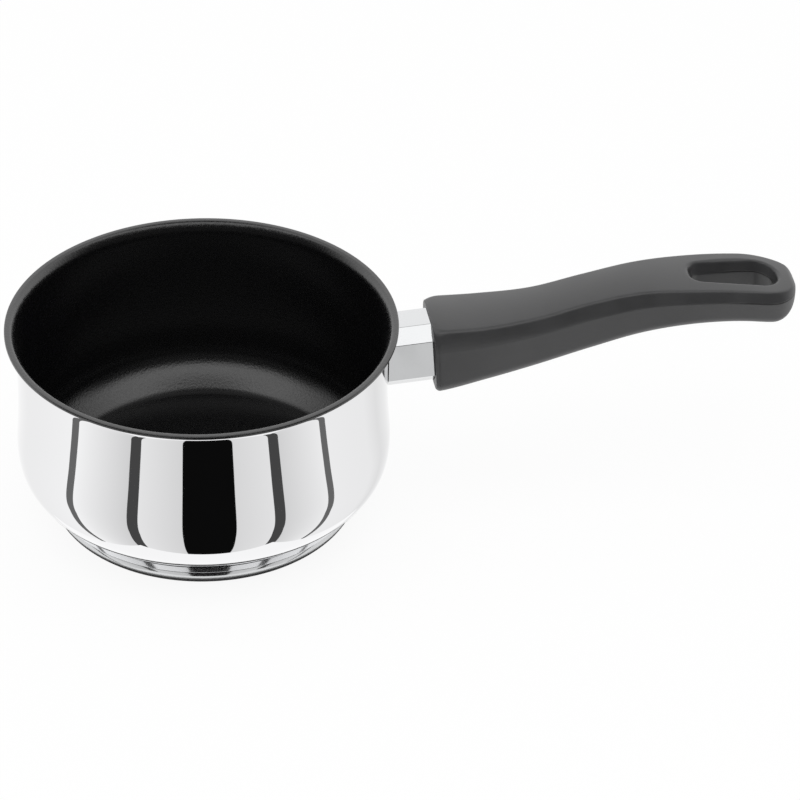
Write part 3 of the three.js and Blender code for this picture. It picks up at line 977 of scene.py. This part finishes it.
@dataclass
class Grip:
    """The moulded grip, with its hanging hole and the bores for the screw."""

    line: HandleLine
    guard: FlameGuard
    start: float = 86.8
    length: float = 140.2
    half_width: float = 13.6
    edge_height: float = 75.8
    rise: float = 8.3
    depth: float = 29.0
    near_top_corner: float = 2.4
    far_top_corner: float = 1.0
    near_corner: float = 5.5
    far_corner: float = 4.0
    near_crown: float = 1.2
    far_crown: float = 0.6
    near_bulge: float = 1.6
    far_bulge: float = 2.0
    near_side_power: float = 2.0
    far_side_power: float = 1.1
    bevel_length: float = 6.0
    bevel_inset: float = 0.5
    corner_gain: float = 4.5
    edge_length: float = 1.6
    edge_inset: float = 0.8
    socket_clearance: float = 0.3
    tip_round: float = 20.0
    tip_top_round: float = 2.4
    tip_underside_round: float = 10.5
    tip_flat: float = 1.2
    tip_squareness: float = 2.4
    width_shares: tuple[float, ...] = (0.96, 0.93, 0.82, 0.78, 0.83, 0.94, 1, 1.02)
    rise_shares: tuple[float, ...] = (0.02, -0.03, 0.14, 0.64, 0.99, 0.95, 0.72, 0.27)
    depth_shares: tuple[float, ...] = (1, 0.86, 0.78, 0.75, 0.67, 0.56, 0.51, 0.52)
    parting_share: float = 0.72
    line_from_share: float = 0.8
    line_least: float = 0.1
    line_return: float = 3.0
    lean_faded_share: float = 0.33
    bulge_full_share: float = 0.5
    corner_room_share: float = 0.85
    camber_steps: int = 8
    camber_end: float = 1.15
    side_parts: tuple[float, ...] = (1.0, 0.67, 0.33)
    side_end: float = 1.1
    round_steps: int = 12
    station_counts: tuple[int, int, int, int] = (8, 8, 130, 30)
    eye_near: float = 187.2
    eye_far: float = 219.2
    eye_near_half: float = 5.2
    eye_far_half: float = 8.2
    eye_near_corner: float = 4.4
    eye_far_corner: float = 6.8
    eye_edge_round: float = 1.8
    eye_draft: float = 0.8
    eye_overshoot: float = 4.0
    eye_corner_steps: int = 16
    eye_round_steps: int = 8
    shaft_hole_radius: float = 2.3
    head_hole_radius: float = 4.8
    head_seat_depth: float = 5.7
    shaft_start: float = 10.0
    bore_points: int = 48
    voxel: float = 0.42
    smoothing: int = 2
    smoothing_factor: float = 0.5
    crease: float = 38.0
    resin: MouldedPhenolic = MouldedPhenolic()

    def along(self, shares: tuple[float, ...], share: float) -> float:
        """Reads one of the curves above.

        Args:
            shares: evenly spaced values from the pan end to the tip.
            share: place along the grip, from zero to one.

        Returns:
            The value there.
        """
        spans = len(shares) - 1
        span = min(int(share * spans), spans - 1)
        part = share * spans - span
        before, after = shares[max(span - 1, 0)], shares[min(span + 2, spans)]
        start, end = shares[span], shares[span + 1]
        leave, arrive = (end - before) / 2, (after - start) / 2
        bend = 2 * (start - end) + leave + arrive
        lift = 3 * (end - start) - 2 * leave - arrive
        return ((bend * part + lift) * part + leave) * part + start

    @staticmethod
    def quarter_drop(radius: float, to_end: float) -> float:
        """How far a quarter round has dropped at a distance short of its end."""
        past = max(radius - to_end, 0.0)
        return radius - math.sqrt(max(radius * radius - past * past, 0.0))

    def at(self, share: float) -> dict[str, float]:
        """Sizes of the grip's section.

        Args:
            share: place along the grip, from zero to one.

        Returns:
            The section's place, heights, half-width, camber, bulge and corner.
        """
        share = min(max(share, 0.0), 1.0)
        distance = self.length * share
        to_tip = self.length - distance
        edge = self.edge_height + self.rise * self.along(self.rise_shares, share)
        underside = edge - self.depth * self.along(self.depth_shares, share)
        bevel = (1 - min(distance / self.bevel_length, 1.0)) ** 2
        edge_inset = self.edge_inset * (1 - min(distance / self.edge_length, 1.0)) ** 2
        rounding = min(max(1 - to_tip / self.tip_round, 0.0), 1.0)
        plan = max(1 - rounding**self.tip_squareness, 0.0) ** (1 / self.tip_squareness)
        full = self.half_width * self.along(self.width_shares, share) - edge_inset
        mixed = min(share / self.bulge_full_share, 1.0)
        top = edge - self.bevel_inset * bevel - self.quarter_drop(self.tip_top_round, to_tip)
        low = underside + edge_inset + self.quarter_drop(self.tip_underside_round, to_tip)
        top_corner = self.near_top_corner + (self.far_top_corner - self.near_top_corner) * share
        return {
            "place": self.start + distance,
            "half_width": self.tip_flat + (full - self.tip_flat) * plan,
            "top": top,
            "underside": low,
            "crown": (self.near_crown + (self.far_crown - self.near_crown) * share) * plan,
            "bulge": (self.near_bulge + (self.far_bulge - self.near_bulge) * mixed) * plan,
            "top_corner": top_corner + self.corner_gain * bevel,
            "corner": self.near_corner + (self.far_corner - self.near_corner) * share,
            "parting": low + (top - low) * self.parting_share,
            "side_power": self.near_side_power + (self.far_side_power - self.near_side_power) * mixed,
        }

    def lean(self, share: float) -> float:
        """Lean of the section with the guard, for each unit of height."""
        return math.tan(math.radians(self.line.tilt)) * (1 - min(share / self.lean_faded_share, 1.0))

    def middle(self, place: float) -> float:
        """Height of the guard's axis at a distance from the pan's axis."""
        along = place - self.line.wall_radius
        return self.line.root_height + along * math.tan(math.radians(self.line.tilt))

    def section(self, share: float) -> Ring:
        """One closed section of the grip.

        Args:
            share: place along the grip, from zero to one.

        Returns:
            The points of the section.
        """
        at = self.at(share)
        half_width, top, underside, parting = (at[k] for k in ("half_width", "top", "underside", "parting"))
        side = half_width + at["bulge"]
        room = self.corner_room_share
        top_corner = min(at["top_corner"], half_width / 2 * room, (top - parting) * room)
        low_corner = min(at["corner"], min(half_width, parting - underside) * room)
        half = []
        for part in range(1, self.camber_steps + 1):
            out = (half_width - self.camber_end * top_corner) * part / self.camber_steps
            half.append((out, top + at["crown"] * (1 - (out / half_width) ** 2), 0.0))
        half.append((half_width, top, top_corner))
        for part in self.side_parts:
            rise = part * (1 - self.side_end * top_corner / (top - parting))
            out = side - at["bulge"] * rise ** at["side_power"]
            half.append((out, parting + (top - parting) * rise, 0.0))
        half += [(side, parting, 0.0), (half_width, underside, low_corner)]
        far = [(-out, height, radius) for out, height, radius in half]
        corners = [(0.0, top + at["crown"], 0.0), *far, *half[::-1]]
        outline = rounded_outline(corners, self.round_steps)
        lean, middle = self.lean(share), self.middle(at["place"])
        return [Vector((at["place"] + lean * (middle - z), y, z)) for y, z in outline]

    def body(self) -> Mesh:
        """The grip's solid body, before its hole and bores are cut.

        Returns:
            The mesh.
        """
        bevel, tip = self.bevel_length / self.length, 1 - self.tip_round / self.length
        ends = (0.0, self.edge_length / self.length, bevel, tip)
        *counts, last = self.station_counts
        stations = []
        for start, end, count in zip(ends, ends[1:], counts):
            stations += [start + (end - start) * i / count for i in range(count)]
        stations += [tip + (1 - tip) * math.sin(math.pi / 2 * i / last) for i in range(last + 1)]
        return joined_rings([self.section(share) for share in stations], closed=False)

    def eye_ring(self, offset: float, height_at: Callable[[dict[str, float]], float]) -> Ring:
        """One closed ring of the hanging hole.

        Args:
            offset: distance outside the hole's narrowest outline.
            height_at: gives the ring's height from the section's sizes.

        Returns:
            The points of the ring.
        """
        near, far = self.eye_near_half + offset, self.eye_far_half + offset
        outline = rounded_outline(
            [
                (self.eye_near - offset, -near, self.eye_near_corner + offset),
                (self.eye_far + offset, -far, self.eye_far_corner + offset),
                (self.eye_far + offset, far, self.eye_far_corner + offset),
                (self.eye_near - offset, near, self.eye_near_corner + offset),
            ],
            self.eye_corner_steps,
        )
        return [Vector((x, y, height_at(self.at((x - self.start) / self.length)))) for x, y in outline]

    def eye(self) -> Mesh:
        """The body that is cut away for the hanging hole.

        Returns:
            The mesh.
        """
        flare, edge, past = self.eye_edge_round + self.eye_draft, self.eye_edge_round, self.eye_overshoot
        quarter = arc((0.0, 0.0), (edge, edge), (0.0, 90.0), self.eye_round_steps)
        rounds = [(flare - y, edge - x) for x, y in quarter]
        rings = [self.eye_ring(flare, lambda at: at["underside"] - past)]
        rings += [self.eye_ring(out, lambda at, rise=rise: at["underside"] + rise) for out, rise in rounds]
        rings.append(self.eye_ring(0.0, lambda at: at["parting"]))
        rings += [
            self.eye_ring(out, lambda at, drop=drop: at["top"] + at["crown"] - drop)
            for out, drop in reversed(rounds)
        ]
        rings.append(self.eye_ring(flare, lambda at: at["top"] + at["crown"] + past))
        return joined_rings(rings, closed=False)

    def bar(self, outline: Profile, start: float, end: float, matrix: Matrix) -> Mesh:
        """A bar of one section, from one distance along the handle line to another."""
        rings = [[matrix @ Vector((x, y, z)) for y, z in outline] for x in (start, end)]
        return joined_rings(rings, closed=False)

    def evened(self, mesh: Mesh) -> Mesh:
        """Gives the moulded surface an even mesh, whose edges are barely softened.

        Args:
            mesh: the exact body with its hole, which is used up.

        Returns:
            The even mesh.
        """
        exact = new_object("exact_grip", mesh)
        even = mesh.copy()
        smooth = {"factor": self.smoothing_factor, "iterations": self.smoothing}
        for kind, settings in (
            ("REMESH", {"mode": "VOXEL", "voxel_size": self.voxel * MILLIMETRE}),
            ("SMOOTH", smooth),
            ("SHRINKWRAP", {"target": exact, "wrap_method": "NEAREST_SURFACEPOINT"}),
            ("SMOOTH", smooth),
        ):
            even = with_modifier(even, kind, settings)
        bpy.data.objects.remove(exact)
        bpy.data.meshes.remove(mesh)
        return even

    def build(self) -> None:
        """Builds the grip."""
        mesh = self.evened(cut(self.body(), self.eye()))
        reach = self.guard.reach
        socket = self.guard.outline(self.socket_clearance)
        mesh = cut(mesh, self.bar(socket, -reach, reach + self.socket_clearance, self.line.matrix()))
        screw = self.line.matrix(self.line.screw_lift)
        eye_along = (self.eye_near - self.line.wall_radius) / math.cos(math.radians(self.line.tilt))
        last = self.bore_points - 1
        sweep = (0.0, 360.0 * last / self.bore_points)
        for radius, start, end in (
            (self.shaft_hole_radius, self.shaft_start, eye_along),
            (self.head_hole_radius, eye_along - self.head_seat_depth, eye_along + self.eye_overshoot),
        ):
            bore = arc((0.0, 0.0), (radius, radius), sweep, last)
            mesh = cut(mesh, self.bar(bore, start, end, screw))
        self.mark_parting(mesh)
        add_piece("grip", mesh, self.resin, "handle_grip", self.crease)

    def mark_parting(self, mesh: Mesh) -> None:
        """Stores how far above the parting line each vertex is, and what is left of the line.

        Args:
            mesh: the finished grip, in metres.
        """
        values, left = [], []
        for vertex in mesh.vertices:
            at = vertex.co / MILLIMETRE
            share = (at.x - self.start) / self.length
            share -= self.lean(share) * (self.middle(at.x) - at.z) / self.length
            values.append(at.z - self.at(share)["parting"])
            fade = (share - self.line_from_share) / (1 - self.line_from_share) * self.line_return
            fade = min(max(fade, 0.0), 1.0)
            left.append(self.line_least + (1 - self.line_least) * fade)
        for name, column in ((self.resin.over_line, values), (self.resin.line_left, left)):
            attribute = mesh.attributes.new(name, "FLOAT", "POINT")
            attribute.data.foreach_set("value", column)


@dataclass
class Fixing:
    """The screw through the grip, its two washers and the welded boss."""

    line: HandleLine
    eye_near: float = 187.2
    seat_gap: float = 0.3
    screw_radius: float = 2.0
    screw_tip: float = 14.9
    head_radius: float = 3.5
    head_length: float = 4.0
    head_round: float = 0.5
    head_steps: int = 6
    socket_across: float = 3.0
    socket_depth: float = 2.2
    socket_tip: float = 0.5
    tip_chamfer: float = 0.4
    seat_chamfer: float = 0.2
    washer_radius: float = 4.5
    washer_thickness: float = 0.8
    spring_radius: float = 3.8
    spring_thickness: float = 0.9
    washer_edge: float = 0.12
    hole_radius: float = 2.3
    facets: int = 48
    plated: Finish = FasteningSteel(
        "steel, zinc plated", Slot.STEEL_PLATED, ("#b9bcc0", "#cfd1d4"), (0.2, 0.32)
    )
    pickled: Finish = FasteningSteel(
        "stainless steel, turned and pickled", Slot.STEEL_PLAIN, ("#8f9193", "#a2a4a6"), (0.35, 0.5)
    )

    def along_screw(self, rings: list[Ring]) -> list[Ring]:
        """Lays rings about the upright axis along the screw's axis."""
        matrix = self.line.matrix(self.line.screw_lift) @ Matrix.Rotation(math.pi / 2, 4, "Y")
        return [[matrix @ point for point in ring] for ring in rings]

    def hexagon(self, height: float) -> Ring:
        """The hexagon socket's outline with as many points as a turned ring.

        Args:
            height: distance along the screw.

        Returns:
            The points of the ring.
        """
        points = []
        for i in range(self.facets):
            turn = 2 * math.pi * i / self.facets
            side = (turn % (math.pi / 3)) - math.pi / 6
            radius = self.socket_across / 2 / math.cos(side)
            points.append(Vector((radius * math.cos(turn), radius * math.sin(turn), height)))
        return points

    def build(self, boss: Object) -> None:
        """Builds the screw and the washers, and dresses the boss.

        Args:
            boss: the CAD node of the boss, which stays.
        """
        eye = (self.eye_near - self.line.wall_radius) / math.cos(math.radians(self.line.tilt))
        seat = eye - self.head_length - self.spring_thickness - self.washer_thickness + self.seat_gap
        spring = seat + self.washer_thickness
        head = spring + self.spring_thickness
        end = head + self.head_length
        soft = self.head_round
        profile = [
            (0.0, self.screw_tip),
            (self.screw_radius - self.tip_chamfer, self.screw_tip),
            (self.screw_radius, self.screw_tip + self.tip_chamfer),
            (self.screw_radius, head),
            (self.head_radius - self.seat_chamfer, head),
            (self.head_radius, head + self.seat_chamfer),
            *arc((self.head_radius - soft, end - soft), (soft, soft), (0.0, 90.0), self.head_steps),
        ]
        rings = turned_rings(profile, self.facets)
        floor = end - self.socket_depth
        rings += [self.hexagon(end), self.hexagon(floor), [Vector((0, 0, floor - self.socket_tip))]]
        mesh = joined_rings(self.along_screw(rings), closed=False)
        add_piece("long_screw", mesh, self.plated, "handle_screw")

        profile = self.washer_profile(self.washer_radius, seat, spring)
        mesh = joined_rings(self.along_screw(turned_rings(profile, self.facets)), closed=True)
        add_piece("washer", mesh, self.plated, "flat_washer")

        profile = self.washer_profile(self.spring_radius, spring, head)
        rings = turned_rings(profile, self.facets)
        split = [[ring[i] for ring in rings] for i in range(1, self.facets - 1)]
        split = [[Matrix.Rotation(math.pi, 4, "Z") @ point for point in ring] for ring in split]
        mesh = joined_rings(self.along_screw(split), closed=False)
        add_piece("split_washer", mesh, self.plated, "spring_washer")
        dress_node(boss, self.pickled)

    def washer_profile(self, radius: float, start: float, end: float) -> Profile:
        """The section of a washer with softened edges.

        Args:
            radius: outside of the washer.
            start: distance along the screw where it starts.
            end: distance where it ends.

        Returns:
            The closed section.
        """
        soft = self.washer_edge
        return [
            (self.hole_radius, start),
            (radius - soft, start),
            (radius, start + soft),
            (radius, end - soft),
            (radius - soft, end),
            (self.hole_radius, end),
        ]


# Studio

CAMERA_SIDE = -90.0  # bearing from +X, in degrees, of a camera that isn't turned
ONLY_REFLECTED = ("camera", "diffuse", "shadow", "transmission", "volume_scatter")
Stops = tuple[tuple[float, float], ...]


def add_stage(mesh: Mesh, material: Material, unseen_by: tuple[str, ...]) -> Object:
    """Puts a piece of the stage in the scene.

    Args:
        mesh: its mesh, whose name it takes.
        material: its material.
        unseen_by: the kinds of rays that pass through it.

    Returns:
        The piece.
    """
    mesh.materials.append(material)
    piece = new_object(mesh.name, mesh)
    for ray in unseen_by:
        setattr(piece, f"visible_{ray}", False)
    return piece


def disc(name: str, radius: float, count: int = 96) -> Mesh:
    """A flat disc round the upright axis.

    Args:
        name: the mesh's name.
        radius: its radius, in metres.
        count: points round its edge.

    Returns:
        The mesh.
    """
    work = bmesh.new()
    bmesh.ops.create_circle(work, cap_ends=True, segments=count, radius=radius)
    return finished_mesh(work, name)


def bearing_share(tree: NodeTree, direction: NodeSocket, azimuth: float) -> NodeSocket:
    """The bearing of a direction from the camera's own, rightwards.

    Args:
        tree: the tree that the nodes go into.
        direction: the direction.
        azimuth: the camera's, in degrees.

    Returns:
        A socket that runs from zero, half a turn to the left, to one.
    """
    x, y, _ = add_node(tree, "SeparateXYZ", (direction,))
    bearing = add_node(tree, "Math", (y, x), operation="ARCTAN2")[0]
    from_camera = (bearing, math.radians(CAMERA_SIDE - azimuth))
    bearing = add_node(tree, "Math", from_camera, operation="SUBTRACT")[0]
    bearing = add_node(tree, "Math", (bearing, math.pi, -math.pi), operation="WRAP")[0]
    return add_node(tree, "MapRange", (bearing, -math.pi, math.pi, 0.0, 1.0))[0]


def levels_round(tree: NodeTree, bearing: NodeSocket, stops: Stops) -> NodeSocket:
    """Brightness that changes with the bearing.

    Args:
        tree: the tree that the node goes into.
        bearing: what bearing_share gives.
        stops: bearing in degrees and linear brightness of each stop.

    Returns:
        The brightness.
    """
    shade = add_node(tree, "ValToRGB", (bearing,))[0]
    elements = shade.node.color_ramp.elements
    while len(elements) < len(stops):
        elements.new(1.0)
    for element, (degrees, level) in zip(elements, stops):
        element.position = (degrees + 180) / 360
        element.color = grey(level)
    return shade


@dataclass
class LightTent:
    """The square light tent that polished metal shows.

    Pale panels hang between grey posts, with a dark slit for the camera.
    Only reflections see it, so it adds no light to anything else. The stops
    are the bearing and the brightness of the panels, and each post has the
    bearings of its two edges, which are sharp, and its own brightness.
    """

    half_width: float = 1000.0
    twist: float = 2.6
    foot: float = -1470.0
    top: float = -250.0
    stops: Stops = (
        (-180, 1.05),
        (-138, 1.0),
        (-86, 1.1),
        (-83, 1.13),
        (-44, 0.78),
        (-39, 0.98),
        (-9, 0.8),
        (17, 0.83),
        (44, 0.95),
        (48, 0.78),
        (80, 1.05),
        (120, 1.0),
        (137, 0.88),
        (180, 1.05),
    )
    posts: tuple[tuple[float, float, float], ...] = (
        (-87.3, -81.7, 0.16),
        (-44.65, -37.75, 0.07),
        (-11.2, 19.85, 0.004),
        (42.95, 49.75, 0.07),
        (79.0, 83.7, 0.16),
    )
    post_edge: float = 0.1

    def build(self, azimuth: float) -> None:
        """Builds the tent round the row's axis.

        Args:
            azimuth: the camera's, in degrees.
        """
        reach = self.half_width * math.sqrt(2) * MILLIMETRE
        turns = [math.radians(45.0 + 90.0 * i - azimuth + self.twist) for i in range(4)]
        work = bmesh.new()
        low, high = (
            [work.verts.new((reach * math.cos(t), reach * math.sin(t), z * MILLIMETRE)) for t in turns]
            for z in (self.foot, self.top)
        )
        for i in range(4):
            work.faces.new((low[i], low[i - 3], high[i - 3], high[i]))
        mesh = finished_mesh(work, "light_tent")
        material = bpy.data.materials.new("light tent, white cloth on grey posts")
        tree = empty_tree(material)
        bearing = bearing_share(tree, add_node(tree, "TexCoord")["Object"], azimuth)
        shade = levels_round(tree, bearing, self.stops)
        degrees = add_node(tree, "MapRange", (bearing, 0.0, 1.0, -180.0, 180.0))[0]
        for start, end, level in self.posts:
            aside = add_node(tree, "Math", (degrees, (start + end) / 2), operation="SUBTRACT")[0]
            aside = add_node(tree, "Math", (aside,), operation="ABSOLUTE")[0]
            half, soft = (end - start) / 2, self.post_edge
            post = add_node(tree, "MapRange", (aside, half - soft, half + soft, 1.0, 0.0), **SMOOTH)[0]
            mix = {SHARE: post, FIRST: shade, SECOND: grey(level)}
            shade = add_node(tree, "Mix", mix, data_type="RGBA")[MIXED]
        cloth = add_node(tree, "Emission", (shade,))
        add_node(tree, "OutputMaterial", (cloth[0],))
        material.cycles.emission_sampling = "NONE"
        add_stage(mesh, material, ONLY_REFLECTED)


@dataclass
class Studio:
    """Camera, floor and light.

    Polished metal shows whatever stands round it. So reflections see a
    light tent with a white table under it, with a painted shadow near
    the base where the pan would shade it, on top of the real shading, and
    over it a bright screen all round but for a dark room behind the
    camera, a screen again, and a dim ceiling. The edges between them are
    heights in degrees, and the stops are bearings and brightness.
    Everything else is lit by an even white surround and one large softbox.
    The sizes of the softbox and the floor and the clip are in metres.
    """

    focal_length: float = 292.5
    sensor: float = 36.0
    azimuth: float = 9.5
    elevation: float = 34.45
    distance: float = 2435.0
    clip_end: float = 20.0
    aim_height: float = 80.7
    aside: float = -74.36
    lift: float = 28.17
    surround: float = 0.72
    softbox_level: float = 1.5
    softbox_size: tuple[float, float] = (1.5, 1.3)
    softbox_height: float = 1.5
    softbox_forward: float = 0.28
    floor_radius: float = 6.0
    floor_colour: float = 0.95
    floor_own_light: float = 0.92
    table: float = 1.15
    table_edges: tuple[float, float] = (-30.0, -29.0)
    # Painted shadow on the table patch under the pan: the radii in millimetres over which its colour rises
    # from the first level to the second, and how far the patch sits under the floor.
    shade_radii: tuple[float, float] = (57.5, 60.0)
    shade_levels: tuple[float, float] = (0.06, 0.9)
    shade_drop: float = 0.05
    room_edges: tuple[float, float] = (42.0, 48.0)
    room_stops: Stops = ((-180, 1.25), (-105, 1.25), (-75, 0.05), (75, 0.05), (105, 1.25), (180, 1.25))
    screen_stops: Stops = ((-180, 1.0), (-105, 1.0), (-80, 1.45), (80, 1.45), (105, 1.0), (180, 1.0))
    ceiling_edges: tuple[float, float] = (67.0, 77.0)
    ceiling: float = 0.12
    tent: LightTent = field(default_factory=LightTent)

    def build(self) -> None:
        """Builds the camera, the floor, the lights and the surround."""
        self.build_camera()
        self.build_floor()
        # the table patch under the pan, whose colour carries a painted shadow
        self.build_shade()
        self.build_softbox()
        self.build_surround()
        self.tent.build(self.azimuth)
        bpy.context.scene.view_settings.view_transform = "Standard"

    def build_camera(self) -> None:
        """Places the camera where the photograph was taken from."""
        turn, down = math.radians(self.azimuth), math.radians(self.elevation)
        level = Vector((math.sin(turn), math.cos(turn), 0))
        right = Vector((math.cos(turn), -math.sin(turn), 0))
        forward = level * math.cos(down) - Vector((0, 0, math.sin(down)))
        up = level * math.sin(down) + Vector((0, 0, math.cos(down)))
        place = Vector((0, 0, self.aim_height)) - right * self.aside - up * self.lift
        place = (place - forward * self.distance) * MILLIMETRE
        data = bpy.data.cameras.new("camera")
        data.lens = self.focal_length
        data.sensor_width = self.sensor
        data.clip_end = self.clip_end
        camera = new_object("camera", data)
        turned = Matrix((right, up, -forward)).transposed().to_4x4()
        camera.matrix_world = Matrix.Translation(place) @ turned
        bpy.context.scene.camera = camera
        LOG.info("camera at %s", [round(value, 4) for value in place])

    def build_floor(self) -> None:
        """A white floor that keeps the pan's shadow and runs out to white."""
        material = bpy.data.materials.new("matt white table")
        tree = empty_tree(material)
        matt = add_node(tree, "BsdfDiffuse", (grey(self.floor_colour),))[0]
        white = add_node(tree, "Emission", {"Strength": 1.0})[0]
        seen = add_node(tree, "LightPath")["Is Camera Ray"]
        own = add_node(tree, "Math", (seen, self.floor_own_light), operation="MULTIPLY")[0]
        mixed = add_node(tree, "MixShader", (own, matt, white))
        add_node(tree, "OutputMaterial", (mixed[0],))
        add_stage(disc("floor", self.floor_radius), material, ("glossy",))

    def build_shade(self) -> None:
        """The patch of table under the pan, which its base reflects, with a painted shadow: its colour
        darkens towards the base, on top of its real shading.
        """
        material = bpy.data.materials.new("matt table under the pan with a painted shadow")
        tree = empty_tree(material)
        place = radius_and_height(tree, add_node(tree, "TexCoord")["Object"])
        radius = add_node(tree, "SeparateXYZ", (place,))[0]
        radii = [limit * MILLIMETRE for limit in self.shade_radii]
        # Painted shadow: the patch's colour darkens towards the cap's edge, on top of the real shading that
        # the diffuse shader gets.
        shade = add_node(tree, "MapRange", (radius, *radii, *self.shade_levels))[0]
        matt = add_node(tree, "BsdfDiffuse", (shade,))
        add_node(tree, "OutputMaterial", (matt[0],))
        patch = add_stage(disc("table_painted_shadow_under_pan", radii[1]), material, ONLY_REFLECTED)
        patch.location.z = -self.shade_drop * MILLIMETRE

    def build_softbox(self) -> None:
        """One large softbox overhead, a little towards the camera."""
        data = bpy.data.lights.new("softbox", "AREA")
        data.shape = "RECTANGLE"
        data.size, data.size_y = self.softbox_size
        data.energy = self.softbox_level * math.pi * self.softbox_size[0] * self.softbox_size[1]
        softbox = new_object("softbox", data)
        turn = math.radians(self.azimuth)
        forward = self.softbox_forward
        softbox.location = (-math.sin(turn) * forward, -math.cos(turn) * forward, self.softbox_height)
        softbox.rotation_euler = (0, 0, -turn)
        softbox.visible_glossy = False

    def build_surround(self) -> None:
        """The white surround, with the room that reflections see over the tent."""
        world = bpy.data.worlds.new("surround")
        bpy.context.scene.world = world
        tree = empty_tree(world)
        direction = add_node(tree, "TexCoord")["Generated"]
        height = add_node(tree, "SeparateXYZ", (direction,))[2]
        height = add_node(tree, "Math", (height,), operation="ARCSINE")[0]
        height = add_node(tree, "Math", (height,), operation="DEGREES")[0]
        bearing = bearing_share(tree, direction, self.azimuth)
        shown: Any = grey(self.table)
        for level, edges in (
            (levels_round(tree, bearing, self.room_stops), self.table_edges),
            (levels_round(tree, bearing, self.screen_stops), self.room_edges),
            (grey(self.ceiling), self.ceiling_edges),
        ):
            share = add_node(tree, "MapRange", (height, *edges, 0.0, 1.0), **SMOOTH)[0]
            mix = {SHARE: share, FIRST: shown, SECOND: level}
            shown = add_node(tree, "Mix", mix, data_type="RGBA")[MIXED]
        path = add_node(tree, "LightPath")
        reflected = {SHARE: path["Is Glossy Ray"], FIRST: grey(self.surround), SECOND: shown}
        light = add_node(tree, "Mix", reflected, data_type="RGBA")[MIXED]
        seen = {SHARE: path["Is Camera Ray"], FIRST: light, SECOND: grey(1.0)}
        light = add_node(tree, "Mix", seen, data_type="RGBA")[MIXED]
        background = add_node(tree, "Background", (light,))
        add_node(tree, "OutputWorld", (background[0],))


def main() -> None:
    """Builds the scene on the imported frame."""
    logging.basicConfig(level=logging.INFO, format="%(message)s")
    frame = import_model()
    Studio().build()
    vessel = Vessel()
    vessel.build()
    Base(vessel).build()
    line = HandleLine()
    guard = FlameGuard(line, vessel)
    guard.build()
    Grip(line, guard).build()
    Fixing(line).build(frame["nodes"]["handle_boss"])


if __name__ == "__main__":
    main()
